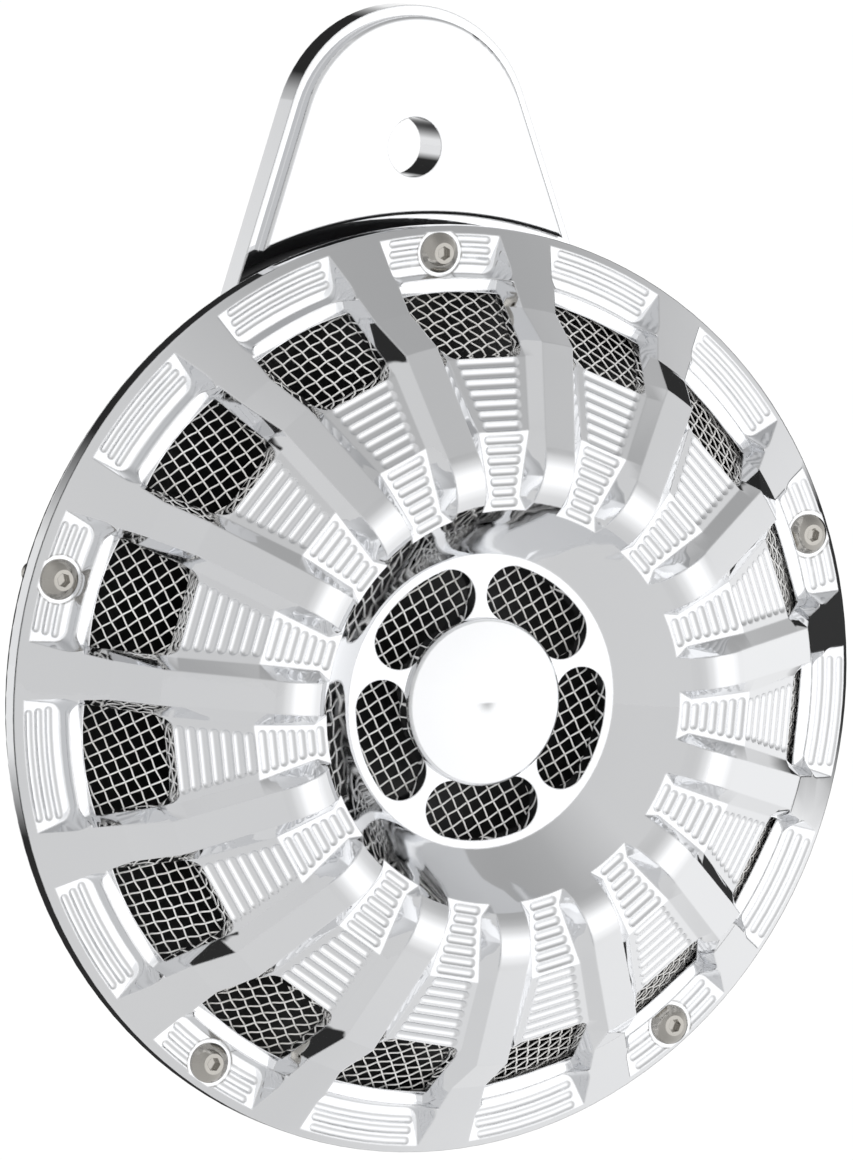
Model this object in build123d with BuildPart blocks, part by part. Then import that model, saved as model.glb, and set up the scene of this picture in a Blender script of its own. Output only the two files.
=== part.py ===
from build123d import *
import os
from math import asin, cos, hypot, radians, sin, sqrt

os.makedirs("parts", exist_ok=True)

# Motorcycle horn with a vented round cover, hung from one stud hole.
# Millimetres. The origin is the centre of the stud hole on the bracket's back face.
# +Z is up, the cover faces -Y, and heights are measured forwards from the bracket's back face.

# Hanging bracket
plate_thickness = 5.5
panel_rise = 2.2
panel_inset = 1.8
stud_hole_radius = 4.9
stud_above_rim = 12.3
top_round_radius = 22.1
top_round_lift = 1.0
lower_disc_radius = 51.4
bracket_edge_round = 0.6

# Cover, radii inwards from the rim
rim_radius = 76.2
rim_thickness = 3.7
screw_circle_inset = 4.3
pad_inset = 7.7
ledge_outer_inset = 8.3
ledge_inner_inset = 10.6
cone_top_inset = 12.1
step_top_inset = 17.0
window_inner_inset = 20.1

# Cover, radii out from the centre
kink_radius = 44.7
slope_end_radius = 42.6
crest_peak_radius = 38.0
crest_inner_radius = 33.4
hub_plate_radius = 24.1
floor_run_out_radius = 31.8
floor_waist_radius = 34.1

# Cover, heights above its own back face
pad_floor = 4.75
ledge_height = 6.7
cone_top_height = 14.0
step_top_height = 22.4
window_lip_height = 21.3
inner_floor_height = 27.4
slope_end_height = 30.1
crest_peak_height = 31.2
crest_inner_height = 29.2
hub_plate_height = 19.2
hub_plate_thickness = 2.9
funnel_wall = 2.6
crown_wall = 3.4
window_wall = 3.2
funnel_hollow = 0.35
funnel_span = 12.0
ledge_wall = 2.2
lip_back_step = 1.1
rim_edge_round = 0.7

# Bays milled into the cover between the spokes
bay_count = 15
spoke_crest_half_width = 2.65
spoke_step_half_width = 2.85
spoke_cone_half_width = 3.1
spoke_ledge_half_width = 3.75
floor_end_half_width = 3.9
floor_waist_half_width = 2.8
kink_half_width = 4.5
window_inner_half_width = 7.0
window_outer_half_width = 9.1
ledge_half_width = 9.6
pad_half_width = 9.35
pad_flare = 0.27
pad_draft = 15
pad_corner_round = 2.2
window_corner_round = 2.4
rib_count = 7
rib_pitch = 1.7
rib_cutter_radius = 1.0
outer_rib_depth = 0.5
inner_rib_depth = 0.35
rib_side_margin = 1.0
inner_rib_offset = 0.75
pad_groove_count = 3
pad_groove_pitch = 1.75
pad_groove_depth = 0.25
pad_groove_half_length = 8.6

# Hub windows and centre cap
hub_window_count = 5
hub_window_mid_radius = 18.1
hub_window_half_width = 4.6
hub_window_end_angle = 18
cap_radius = 13.7
cap_thickness = 1.3
cap_crown = 0.7
cap_edge_chamfer = 0.4
cap_stud_radius = 3.0
cap_stud_reach = 4.0
cap_nut_across_flats = 8.0
cap_nut_height = 2.6
cap_washer_radius = 6.0
cap_washer_thickness = 0.8

# Cover screws
screw_count = 5
screw_radius = 1.75
screw_head_radius = 3.3
screw_head_height = 1.85
screw_socket_flats = 2.0
screw_socket_depth = 1.05
screw_head_skirt = 0.35
screw_shoulder_share = 0.78
screw_shoulder_rise = 0.72
screw_top_share = 0.52
spotface_radius = 4.0
spotface_depth = 0.3

# Screen and backing plate
screen_thickness = 0.8
screen_gap = 0.3
screen_recess_width = 3.0
screen_recess_depth = 1.0
cavity_inset = 9.2
backing_thickness = 3.5
backing_inset = 2.2
backing_edge_chamfer = 2.0
backing_rim_rise = 3.0
backing_rim_width = 9.0

# Horn
can_radius = 26.0
can_depth = 24.0
sheet = 1.5
dish_radius = 37.2
dish_floor = 3.0
shoulder_bend = 1.8
horn_flange_radius = 47.0
horn_standoff = 2.0
flange_thickness = 1.2
gasket_thickness = 0.8
diaphragm_thickness = 0.6
bead_outer_radius = 36.0
bead_inner_radius = 28.0
bead_rise = 1.2
ring_thickness = 2.0
ring_inner_radius = 38.6
horn_bolt_circle = 43.0
horn_bolt_count = 3
horn_bolt_radius = 2.5
bolt_head_across_flats = 8.0
bolt_head_height = 3.5
bolt_tail = 1.0
washer_radius = 5.0
washer_thickness = 1.0
nut_across_flats = 8.0
nut_height = 4.0
rivet_radius = 1.6
rivet_head_radius = 3.0
rivet_head_height = 0.9
rivet_count = 6

# Magnet, armature and tone disc
core_radius = 8.0
core_thread_radius = 5.0
core_nut_across_flats = 16.0
core_nut_height = 4.0
core_thread_tail = 1.5
bobbin_seat = 2.0
bobbin_wall = 1.2
bobbin_radius = 22.5
coil_margin = 1.2
air_gap = 1.2
plunger_radius = 8.4
shoulder_radius = 13.5
shoulder_thickness = 3.0
stem_radius = 2.5
stem_tail = 0.8
collar_radius = 6.0
collar_height = 2.0
tone_disc_radius = 36.0
tone_disc_thickness = 1.2
tone_disc_dish = 2.0
tone_disc_flat_radius = 12.0
armature_nut_across_flats = 8.0
armature_nut_height = 3.2

# Contact breaker
breaker_radius = 29.0
breaker_width = 8.0
breaker_depth = 7.0
insulator_thickness = 1.0
arm_thickness = 0.5
arm_width = 5.0
arm_tip_radius = 12.0
arm_overhang = 1.0
hinge_knuckle_radius = 0.4
hinge_standoff = 0.6
pip_radius = 1.2
pip_height = 0.8
pip_clearance = 0.1
point_radius = 1.3
point_thickness = 0.8
point_at_radius = 20.0
point_clearance = 0.05
breaker_screw_radius = 1.2
breaker_rivet_head = 0.8
adjuster_radius = 2.0
adjuster_head_radius = 3.5
adjuster_head_height = 2.0
adjuster_slot = 0.8
adjuster_tail = 1.5
adjuster_at_radius = 31.6
adjuster_angle = 225

# Terminals on the back of the can
terminal_plate_width = 24.0
terminal_plate_height = 11.0
terminal_plate_thickness = 2.0
terminal_plate_drop = 14.5
terminal_plate_round = 1.5
terminal_spacing = 12.0
blade_width = 6.3
blade_thickness = 0.8
blade_length = 17.0
blade_hole_radius = 0.9
blade_hole_rise = 3.0
blade_round = 1.2
terminal_rivet_radius = 1.4
terminal_rivet_head = 0.8

# Clearances
running_clearance = 0.05
thread_clearance = 0.02
bolt_clearance = 0.3
screw_clearance = 0.35
can_clearance = 1.8
backing_opening_clearance = 2.3
panel_to_rim_gap = 1.3
screen_seat = 0.1
screw_tip_gap = 0.2

# How far the cutters of the bays run past the faces they open
trench_edge_margin = 0.15
trench_edge_rise = 0.1
edge_search_span = 12.0
station_overrun = 0.3
window_overrun = 1.5
pad_overrun = 3.0
match_tolerance = 0.01

# Places that follow from the sizes above
drop = rim_radius + stud_above_rim
plate_front = plate_thickness + backing_thickness
cover_back = plate_front + backing_rim_rise
screw_circle = rim_radius - screw_circle_inset
pad_inner = rim_radius - pad_inset
ledge_outer = rim_radius - ledge_outer_inset
window_outer = rim_radius - ledge_inner_inset
window_inner = rim_radius - window_inner_inset
cone_top = rim_radius - cone_top_inset
step_top = rim_radius - step_top_inset
cavity_radius = rim_radius - cavity_inset
recess_radius = cavity_radius + screen_recess_width
half_bay = 180 / bay_count
clear_above = 12.0

horn_axis = Axis((0, 0, -drop), (0, -1, 0))
section = Plane(origin=(0, 0, -drop), x_dir=(1, 0, 0), z_dir=(0, 0, -1))


def facing(height, rise=-drop):
    """Plane that faces the front, at a height ahead of the bracket's back face."""
    return Plane(origin=(0, -height, rise), x_dir=(1, 0, 0), z_dir=(0, -1, 0))


def across(radius):
    """Plane across a bay that points along +Y, with its own y axis forwards."""
    return Plane(origin=(0, radius, 0), x_dir=(1, 0, 0), z_dir=(0, -1, 0))


def on_line(start, end, radius):
    """Height at a radius on the straight line between two (radius, height) points."""
    share = (radius - start[0]) / (end[0] - start[0])
    return start[1] + share * (end[1] - start[1])


def offset_line(start, end, distance):
    """The line between two profile points, moved inwards and back by a distance."""
    length = hypot(end[0] - start[0], end[1] - start[1])
    shift_r = (end[1] - start[1]) / length * distance
    shift_h = -(end[0] - start[0]) / length * distance
    return (start[0] - shift_r, start[1] - shift_h), (end[0] - shift_r, end[1] - shift_h)


def meet(first, second):
    """Point where two profile lines cross."""
    (x1, y1), (x2, y2) = first
    (x3, y3), (x4, y4) = second
    cross = (x1 - x2) * (y3 - y4) - (y1 - y2) * (x3 - x4)
    a = x1 * y2 - y1 * x2
    b = x3 * y4 - y3 * x4
    return ((a * (x3 - x4) - (x1 - x2) * b) / cross, (a * (y3 - y4) - (y1 - y2) * b) / cross)


def finish(piece, label):
    """Name a finished piece and write it."""
    piece.part.label = label
    export_step(piece.part, f"parts/{label}.step")


# Profile of the cover as (radius, height above its back face)
rim_edge = (rim_radius, rim_thickness)
cone_end = (cone_top, cone_top_height)
step_end = (step_top, step_top_height)
slope_end = (slope_end_radius, slope_end_height)
crest_peak = (crest_peak_radius, crest_peak_height)
crest_inner = (crest_inner_radius, crest_inner_height)
hub_edge = (hub_plate_radius, hub_plate_height)
lip = (window_inner, window_lip_height)
kink = (kink_radius, inner_floor_height)
hub_back = hub_plate_height - hub_plate_thickness
crown_back = inner_floor_height - crown_wall

funnel_back_line = offset_line(crest_inner, hub_edge, funnel_wall)
lip_back_line = offset_line(lip, kink, window_wall)
level_crown = ((0, crown_back), (1, crown_back))
level_hub = ((0, hub_back), (1, hub_back))
back_hub_corner = meet(funnel_back_line, level_hub)
back_funnel_corner = meet(funnel_back_line, level_crown)
back_crown_corner = meet(lip_back_line, level_crown)
lip_back_radius = window_inner + lip_back_step
back_lip_corner = (lip_back_radius, on_line(*lip_back_line, lip_back_radius))
back_ledge_corner = (cavity_radius, ledge_height - ledge_wall)


# ---------------------------------------------------------------- bay cutter
# One bay, pointing along +Y about the horn axis, heights from the cover's back face.
def spoke_height(radius):
    """Height of the turned surface that the spokes keep, between hub and rim."""
    if radius <= crest_inner_radius:
        return on_line(hub_edge, crest_inner, radius)
    if radius <= crest_peak_radius:
        return on_line(crest_inner, crest_peak, radius)
    if radius <= slope_end_radius:
        return on_line(crest_peak, slope_end, radius)
    if radius <= step_top:
        return on_line(slope_end, step_end, radius)
    if radius <= cone_top:
        return on_line(step_end, cone_end, radius)
    return on_line(cone_end, rim_edge, radius)


def spoke_half_width(radius):
    """Half the width of a spoke's top face at a radius."""
    if radius <= slope_end_radius:
        return spoke_crest_half_width
    if radius <= step_top:
        narrow = (slope_end_radius, spoke_crest_half_width)
        return on_line(narrow, (step_top, spoke_step_half_width), radius)
    if radius <= cone_top:
        return on_line((step_top, spoke_step_half_width), (cone_top, spoke_cone_half_width), radius)
    return on_line((cone_top, spoke_cone_half_width), (ledge_outer, spoke_ledge_half_width), radius)


def spoke_edge(radius):
    """Point of the spoke's top edge beside the bay, as (half width, distance along the bay)."""
    turn = radians(half_bay) - asin(spoke_half_width(radius) / radius)
    return radius * sin(turn), radius * cos(turn)


def bay_section(radius, floor, half_width):
    """Corners of the trench where the spoke's edge has a radius: floor, sloping walls, open top."""
    edge_half_width = max(spoke_edge(radius)[0], half_width + trench_edge_margin)
    edge_height = max(spoke_height(radius), floor + trench_edge_rise)
    top = edge_height + clear_above
    return [
        (-half_width, floor),
        (half_width, floor),
        (edge_half_width, edge_height),
        (edge_half_width, top),
        (-edge_half_width, top),
        (-edge_half_width, edge_height),
    ]


def trench(stations):
    """One stretch of the bay, lofted through (spoke edge radius, floor height, half width)."""
    with BuildPart() as stretch:
        for edge_radius, floor, half_width in stations:
            with BuildSketch(across(spoke_edge(edge_radius)[1])):
                with BuildLine():
                    Polyline(*bay_section(edge_radius, floor, half_width), close=True)
                make_face()
        loft(ruled=True)
    return stretch


def edge_radius_at(along):
    """Radius of the spoke's edge at a distance along the bay."""
    low, high = along, along + edge_search_span
    for _ in range(40):
        middle = (low + high) / 2
        if spoke_edge(middle)[1] < along:
            low = middle
        else:
            high = middle
    return high


def floor_half_width(along):
    """Half width of the ribbed floors at a distance along the bay."""
    if along < floor_waist_radius:
        end = (floor_run_out_radius, floor_end_half_width)
        return on_line(end, (floor_waist_radius, floor_waist_half_width), along)
    if along < kink_radius:
        waist = (floor_waist_radius, floor_waist_half_width)
        return on_line(waist, (kink_radius, kink_half_width), along)
    return on_line((kink_radius, kink_half_width), (window_inner, window_inner_half_width), along)


def window_half_width(along):
    """Half width of the window, and of the trench's bottom beside it."""
    inner = (window_inner, window_inner_half_width)
    if along < window_outer:
        return on_line(inner, (window_outer, window_outer_half_width), along)
    return on_line((window_outer, window_outer_half_width), (ledge_outer, ledge_half_width), along)


floor_stations = []
for along in (floor_run_out_radius - station_overrun, floor_waist_radius, kink_radius, window_inner):
    floor_height = inner_floor_height if along <= kink_radius else window_lip_height
    floor_stations.append((edge_radius_at(along), floor_height, floor_half_width(along)))
for edge_radius in (crest_inner_radius, crest_peak_radius, slope_end_radius):
    along = spoke_edge(edge_radius)[1]
    floor_stations.append((edge_radius, inner_floor_height, floor_half_width(along)))
inner_trench = trench(sorted(floor_stations))

window_stations = []
for along in (window_inner, window_outer, pad_inner + window_overrun):
    floor_height = window_lip_height if along == window_inner else ledge_height
    window_stations.append((edge_radius_at(along), floor_height, window_half_width(along)))
for edge_radius in (step_top, cone_top):
    along = spoke_edge(edge_radius)[1]
    floor_height = on_line(lip, (window_outer, ledge_height), along)
    window_stations.append((edge_radius, floor_height, window_half_width(along)))
with BuildPart() as outer_trench:
    add(trench(sorted(window_stations)).part)
    with Locations((0, 0, ledge_height / 2)):
        Cylinder(ledge_outer, 4 * crest_peak_height, mode=Mode.INTERSECT)


def arc_height(radius, half_width):
    """Distance along the bay of a point on a circle about the horn axis."""
    return sqrt(radius**2 - half_width**2)


pad_outer_half_width = pad_half_width + pad_flare * (pad_inset + 2)
pad_outer = rim_radius + pad_overrun
with BuildPart() as pad_pocket:
    with BuildSketch(Plane.XY.offset(pad_floor)) as pad_outline:
        with BuildLine():
            left = (-pad_half_width, arc_height(pad_inner, pad_half_width))
            right = (pad_half_width, arc_height(pad_inner, pad_half_width))
            far_left = (-pad_outer_half_width, arc_height(pad_outer, pad_outer_half_width))
            far_right = (pad_outer_half_width, arc_height(pad_outer, pad_outer_half_width))
            ThreePointArc(left, (0, pad_inner), right)
            Line(right, far_right)
            ThreePointArc(far_right, (0, pad_outer), far_left)
            Line(far_left, left)
        make_face()
        fillet(pad_outline.vertices().group_by(Axis.Y)[0], pad_corner_round)
    extrude(amount=clear_above, taper=-pad_draft)
    Cylinder(ledge_outer - match_tolerance, 4 * crest_peak_height, mode=Mode.SUBTRACT)

with BuildPart() as window_cut:
    with BuildSketch(Plane.XY.offset(-1)) as window_outline:
        with BuildLine():
            inner_left = (-window_inner_half_width, window_inner)
            inner_right = (window_inner_half_width, window_inner)
            outer_y = arc_height(window_outer, window_outer_half_width)
            outer_left = (-window_outer_half_width, outer_y)
            outer_right = (window_outer_half_width, outer_y)
            Line(inner_left, inner_right)
            Line(inner_right, outer_right)
            ThreePointArc(outer_right, (0, window_outer), outer_left)
            Line(outer_left, inner_left)
        make_face()
        fillet(window_outline.vertices().group_by(Axis.Y)[0], window_corner_round)
    extrude(amount=crest_peak_height)

# Cross ribs: round-ended grooves on both floors of the bay
slope_lean = hypot(lip[0] - kink[0], lip[1] - kink[1])
slope_out = (lip[0] - kink[0]) / slope_lean
slope_down = (kink[1] - lip[1]) / slope_lean
with BuildPart() as rib_grooves:
    for rib in range(rib_count):
        along = kink_radius + (rib + 0.5) * (window_inner - kink_radius) / rib_count
        above = rib_cutter_radius - outer_rib_depth
        reach = floor_half_width(along) - rib_side_margin - rib_cutter_radius
        y = along + above * slope_down
        z = on_line(kink, lip, along) + above * slope_out
        with Locations((0, y, z)):
            Cylinder(rib_cutter_radius, 2 * reach, rotation=(0, 90, 0))
        with Locations((-reach, y, z), (reach, y, z)):
            Sphere(rib_cutter_radius)
        along = kink_radius - (rib + inner_rib_offset) * rib_pitch
        reach = floor_half_width(along) - rib_side_margin / 2 - rib_cutter_radius
        z = inner_floor_height + rib_cutter_radius - inner_rib_depth
        with Locations((0, along, z)):
            Cylinder(rib_cutter_radius, 2 * reach, rotation=(0, 90, 0))
        with Locations((-reach, along, z), (reach, along, z)):
            Sphere(rib_cutter_radius)

# Long grooves on the pad, on arcs about the horn axis
pad_groove_height = pad_floor + rib_cutter_radius - pad_groove_depth
pad_middle = (pad_inner + rim_radius) / 2
with BuildPart() as pad_grooves:
    for groove in range(pad_groove_count):
        groove_radius = pad_middle + (groove - (pad_groove_count - 1) / 2) * pad_groove_pitch
        half_turn = pad_groove_half_length / groove_radius
        start = (groove_radius * sin(-half_turn), groove_radius * cos(half_turn))
        end = (groove_radius * sin(half_turn), groove_radius * cos(half_turn))
        with BuildLine(Plane.XY.offset(pad_groove_height)) as groove_path:
            ThreePointArc(start, (0, groove_radius), end)
        with BuildSketch(Plane(origin=groove_path.line @ 0, z_dir=groove_path.line % 0)):
            Circle(rib_cutter_radius)
        sweep(path=groove_path.line)
        with Locations((start[0], start[1], pad_groove_height), (end[0], end[1], pad_groove_height)):
            Sphere(rib_cutter_radius)

# ---------------------------------------------------------------- cover
cover_section = Plane(origin=(0, -cover_back, -drop), x_dir=(1, 0, 0), z_dir=(0, 0, -1))
funnel_middle = ((crest_inner[0] + hub_edge[0]) / 2, (crest_inner[1] + hub_edge[1]) / 2)
funnel_sag = (
    funnel_middle[0] + funnel_hollow * (crest_inner[1] - hub_edge[1]) / funnel_span,
    funnel_middle[1] - funnel_hollow * (crest_inner[0] - hub_edge[0]) / funnel_span,
)
slot_turn = 2 * hub_window_end_angle
hub_window_line = CenterArc(
    (0, 0), hub_window_mid_radius, -hub_window_end_angle, slot_turn, mode=Mode.PRIVATE
)
with BuildPart(facing(cover_back)) as cover:
    with BuildSketch(cover_section) as cover_profile:
        with BuildLine():
            Polyline((0, hub_plate_height), hub_edge)
            ThreePointArc(hub_edge, funnel_sag, crest_inner)
            ThreePointArc(crest_inner, crest_peak, slope_end)
            Polyline(slope_end, step_end, cone_end, rim_edge, (rim_radius, 0), (recess_radius, 0))
            Polyline(
                (recess_radius, 0),
                (recess_radius, screen_recess_depth),
                (cavity_radius, screen_recess_depth),
                back_ledge_corner,
                back_lip_corner,
                back_crown_corner,
                back_funnel_corner,
                back_hub_corner,
                (0, hub_back),
                (0, hub_plate_height),
            )
        make_face()
        rim_corners = cover_profile.vertices().filter_by(lambda v: abs(v.X - rim_radius) < match_tolerance)
        fillet(rim_corners, rim_edge_round)
    revolve(axis=horn_axis)
    with PolarLocations(0, bay_count):
        add(inner_trench.part, mode=Mode.SUBTRACT)
        add(outer_trench.part, mode=Mode.SUBTRACT)
        add(window_cut.part, mode=Mode.SUBTRACT)
        add(pad_pocket.part, mode=Mode.SUBTRACT)
        add(rib_grooves.part, mode=Mode.SUBTRACT)
        add(pad_grooves.part, mode=Mode.SUBTRACT)
    with BuildSketch(facing(cover_back + pad_floor - spotface_depth)):
        with PolarLocations(screw_circle, screw_count, start_angle=90):
            Circle(spotface_radius)
    extrude(amount=clear_above, mode=Mode.SUBTRACT)
    with BuildSketch(facing(cover_back)):
        with PolarLocations(screw_circle, screw_count, start_angle=90):
            Circle(screw_radius + screw_clearance)
        Circle(cap_stud_radius + screw_clearance)
        with PolarLocations(0, hub_window_count, start_angle=90 + 180 / hub_window_count):
            SlotArc(hub_window_line, 2 * hub_window_half_width)
    extrude(amount=crest_peak_height, both=True, mode=Mode.SUBTRACT)
finish(cover, "cover")

# ---------------------------------------------------------------- bracket
top_round_centre = drop + top_round_lift
tangent_lean = (lower_disc_radius - top_round_radius) / top_round_centre
tangent_rise = sqrt(1 - tangent_lean**2)
panel_edge_radius = rim_radius + panel_to_rim_gap


def tongue_side(radius, centre, side):
    """Point where the straight side of the tongue meets a round."""
    return (side * radius * tangent_rise, centre + radius * tangent_lean)


def side_at_radius(radius):
    """Point of the panel's straight side at a distance from the horn axis."""
    inset_radius = lower_disc_radius - panel_inset
    along = sqrt(radius**2 - inset_radius**2)
    return (
        inset_radius * tangent_rise - along * tangent_lean,
        inset_radius * tangent_lean + along * tangent_rise,
    )


with BuildPart() as bracket:
    with BuildSketch(facing(0)) as plate_outline:
        with BuildLine():
            low_right = tongue_side(lower_disc_radius, 0, 1)
            low_left = tongue_side(lower_disc_radius, 0, -1)
            high_right = tongue_side(top_round_radius, top_round_centre, 1)
            high_left = tongue_side(top_round_radius, top_round_centre, -1)
            Line(low_right, high_right)
            ThreePointArc(high_right, (0, top_round_centre + top_round_radius), high_left)
            Line(high_left, low_left)
            ThreePointArc(low_left, (0, -lower_disc_radius), low_right)
        make_face()
    extrude(amount=plate_thickness)
    with BuildSketch(facing(plate_thickness)) as panel_outline:
        with BuildLine():
            panel_round = top_round_radius - panel_inset
            foot_x, foot_y = side_at_radius(panel_edge_radius)
            panel_right = tongue_side(panel_round, top_round_centre, 1)
            panel_left = tongue_side(panel_round, top_round_centre, -1)
            Line((foot_x, foot_y), panel_right)
            ThreePointArc(panel_right, (0, top_round_centre + panel_round), panel_left)
            Line(panel_left, (-foot_x, foot_y))
            ThreePointArc((-foot_x, foot_y), (0, panel_edge_radius), (foot_x, foot_y))
        make_face()
    extrude(amount=panel_rise)
    front_edges = bracket.faces().sort_by(Axis.Y)[0].outer_wire().edges()
    fillet(front_edges, bracket_edge_round)
    back_edges = bracket.faces().sort_by(Axis.Y)[-1].outer_wire().edges()
    fillet(back_edges, bracket_edge_round)
    with BuildSketch(facing(0)):
        Circle(dish_radius + can_clearance)
        with PolarLocations(horn_bolt_circle, horn_bolt_count, start_angle=30):
            Circle(horn_bolt_radius + bolt_clearance)
        with Locations((0, drop)):
            Circle(stud_hole_radius)
    extrude(amount=plate_thickness + panel_rise, mode=Mode.SUBTRACT)
finish(bracket, "bracket")

# ---------------------------------------------------------------- backing plate
backing_radius = rim_radius - backing_inset
with BuildPart() as backing_plate:
    with BuildSketch(facing(plate_thickness)):
        Circle(backing_radius)
        Circle(dish_radius + backing_opening_clearance, mode=Mode.SUBTRACT)
        with PolarLocations(screw_circle, screw_count, start_angle=90):
            Circle(screw_radius + thread_clearance, mode=Mode.SUBTRACT)
        with PolarLocations(horn_bolt_circle, horn_bolt_count, start_angle=30):
            Circle(horn_bolt_radius + bolt_clearance, mode=Mode.SUBTRACT)
    extrude(amount=backing_thickness)
    with BuildSketch(facing(plate_front)):
        Circle(backing_radius)
        Circle(backing_radius - backing_rim_width, mode=Mode.SUBTRACT)
        with PolarLocations(screw_circle, screw_count, start_angle=90):
            Circle(screw_radius + thread_clearance, mode=Mode.SUBTRACT)
    extrude(amount=backing_rim_rise)
    with BuildSketch(section):
        with BuildLine():
            Polyline(
                (backing_radius - backing_edge_chamfer, plate_thickness),
                (backing_radius, plate_thickness + backing_edge_chamfer),
                (rim_radius, plate_thickness + backing_edge_chamfer),
                (rim_radius, plate_thickness),
                close=True,
            )
        make_face()
    revolve(axis=horn_axis, mode=Mode.SUBTRACT)
finish(backing_plate, "backing_plate")

# ---------------------------------------------------------------- screen
# One pressed sheet of wire cloth that follows the inside of the cover.
inside_profile = [
    (0, hub_back),
    back_hub_corner,
    back_funnel_corner,
    back_crown_corner,
    back_lip_corner,
    back_ledge_corner,
    (cavity_radius, 0),
]


def inside_offset(gap):
    """The inside profile of the cover moved inwards by a gap, as (radius, height) points."""
    lines = []
    for outer_end, inner_end in zip(inside_profile[1:], inside_profile[:-1]):
        lines.append(offset_line(outer_end, inner_end, gap))
    corners = [(0, lines[0][1][1])]
    for first_line, second_line in zip(lines[:-1], lines[1:]):
        corners.append(meet(first_line, second_line))
    return corners


screen_front = inside_offset(screen_gap)
screen_back = inside_offset(screen_gap + screen_thickness)
screen_hole = cap_stud_radius + screw_clearance
screen_rim = recess_radius - screen_gap
with BuildPart() as screen:
    with BuildSketch(cover_section):
        with BuildLine():
            Polyline(
                (screen_hole, screen_front[0][1]),
                *screen_front[1:],
                (screen_front[-1][0], screen_seat + screen_thickness),
                (screen_rim, screen_seat + screen_thickness),
                (screen_rim, screen_seat),
                (screen_back[-1][0], screen_seat),
                *reversed(screen_back[1:]),
                (screen_hole, screen_back[0][1]),
                close=True,
            )
        make_face()
    revolve(axis=horn_axis)
finish(screen, "screen")

# ---------------------------------------------------------------- cover screws
screw_seat = cover_back + pad_floor - spotface_depth
head_dome = screw_head_height / 2
with BuildPart() as one_screw:
    with BuildSketch(Plane.XZ):
        with BuildLine():
            Polyline(
                (0, plate_thickness + screw_tip_gap - screw_seat),
                (screw_radius, plate_thickness + screw_tip_gap - screw_seat),
                (screw_radius, 0),
                (screw_head_radius, 0),
                (screw_head_radius, screw_head_skirt),
            )
            ThreePointArc(
                (screw_head_radius, screw_head_skirt),
                (screw_shoulder_share * screw_head_radius, screw_shoulder_rise * screw_head_height),
                (screw_top_share * screw_head_radius, screw_head_height),
            )
            Polyline(
                (screw_top_share * screw_head_radius, screw_head_height),
                (0, screw_head_height),
                (0, plate_thickness + screw_tip_gap - screw_seat),
            )
        make_face()
    revolve(axis=Axis.Z)
    with BuildSketch(Plane.XY.offset(screw_head_height - screw_socket_depth)):
        RegularPolygon(screw_socket_flats / 2, 6, major_radius=False)
    extrude(amount=screw_head_height, mode=Mode.SUBTRACT)
with BuildPart(facing(screw_seat)) as cover_screws:
    with PolarLocations(screw_circle, screw_count, start_angle=90):
        add(one_screw.part)
finish(cover_screws, "cover_screws")

# ---------------------------------------------------------------- centre cap and its fixing
cap_seat = cover_back + hub_plate_height
cap_back = cover_back + screen_back[0][1]
stud_length = cap_seat - cap_back + cap_stud_reach
with BuildPart() as centre_cap:
    with BuildSketch(section):
        with BuildLine():
            Polyline(
                (0, cap_seat - stud_length),
                (cap_stud_radius, cap_seat - stud_length),
                (cap_stud_radius, cap_seat),
                (cap_radius, cap_seat),
                (cap_radius, cap_seat + cap_thickness - cap_edge_chamfer),
                (cap_radius - cap_edge_chamfer, cap_seat + cap_thickness),
            )
            cap_arc_end = (0, cap_seat + cap_thickness + cap_crown)
            cap_edge_radius = cap_radius - cap_edge_chamfer
            dome_radius = (cap_edge_radius**2 + cap_crown**2) / (2 * cap_crown)
            dome_half_turn = asin(cap_edge_radius / dome_radius) / 2
            dome_drop = dome_radius * (1 - cos(dome_half_turn))
            cap_arc_middle = (dome_radius * sin(dome_half_turn), cap_arc_end[1] - dome_drop)
            ThreePointArc((cap_edge_radius, cap_seat + cap_thickness), cap_arc_middle, cap_arc_end)
            Line(cap_arc_end, (0, cap_seat - stud_length))
        make_face()
    revolve(axis=horn_axis)
finish(centre_cap, "centre_cap")

with BuildPart() as cap_washer:
    with BuildSketch(facing(cap_back - cap_washer_thickness)):
        Circle(cap_washer_radius)
        Circle(cap_stud_radius + screw_clearance, mode=Mode.SUBTRACT)
    extrude(amount=cap_washer_thickness)
finish(cap_washer, "cap_washer")

with BuildPart() as cap_nut:
    with BuildSketch(facing(cap_back - cap_washer_thickness - cap_nut_height)):
        RegularPolygon(cap_nut_across_flats / 2, 6, major_radius=False)
        Circle(cap_stud_radius + thread_clearance, mode=Mode.SUBTRACT)
    extrude(amount=cap_nut_height)
finish(cap_nut, "cap_nut")

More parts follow.
